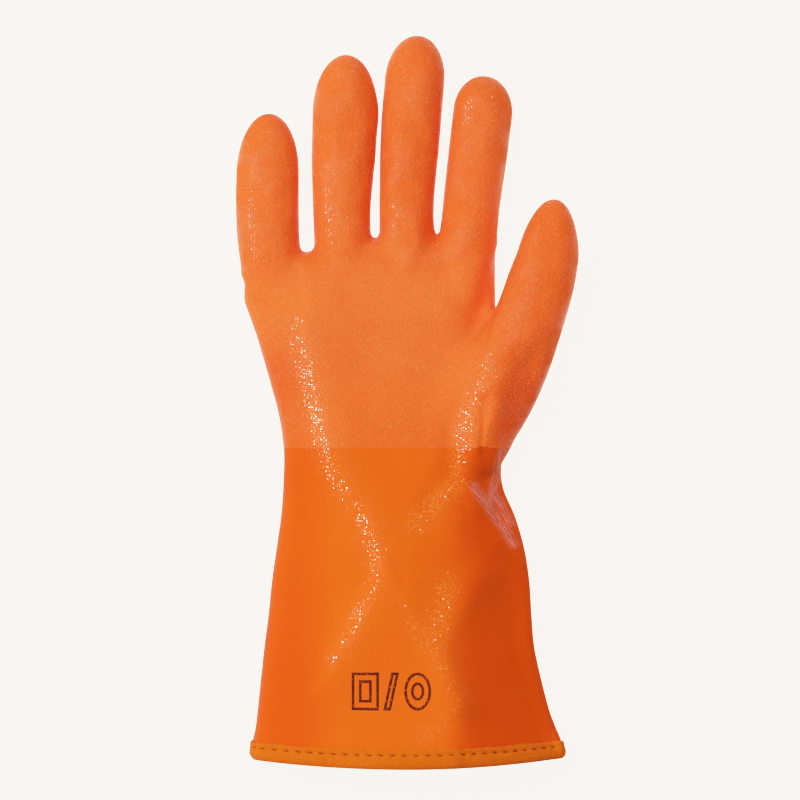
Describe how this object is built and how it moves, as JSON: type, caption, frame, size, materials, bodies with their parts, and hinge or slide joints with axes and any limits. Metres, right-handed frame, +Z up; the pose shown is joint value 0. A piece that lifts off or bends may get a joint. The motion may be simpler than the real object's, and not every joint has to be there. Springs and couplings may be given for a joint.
{
  "type": "chemical-resistant gauntlet glove",
  "caption": "Hollow right-hand work glove with a flared cuff and a bound hem, lying palm up on its back.",
  "frame": {"origin": "middle of the glove's bounding box, on the surface that it lies on", "axes": "+X towards the thumb, +Y from the cuff to the fingertips, +Z up, out of the palm"},
  "size_m": [0.1425, 0.3058, 0.0465],
  "materials": {
    "hand_coat": "semi-matte, finely granular",
    "cuff_coat": "glossy over a fine knit",
    "hem_tape": "matt woven tape"
  },
  "bodies": {
    "root": {"palm": "hand_coat", "little_finger": "hand_coat", "ring_finger": "hand_coat", "middle_finger": "hand_coat", "index_finger": "hand_coat", "thumb": "hand_coat", "gauntlet": "cuff_coat", "hem_binding": "hem_tape"}
  },
  "joints": []
}
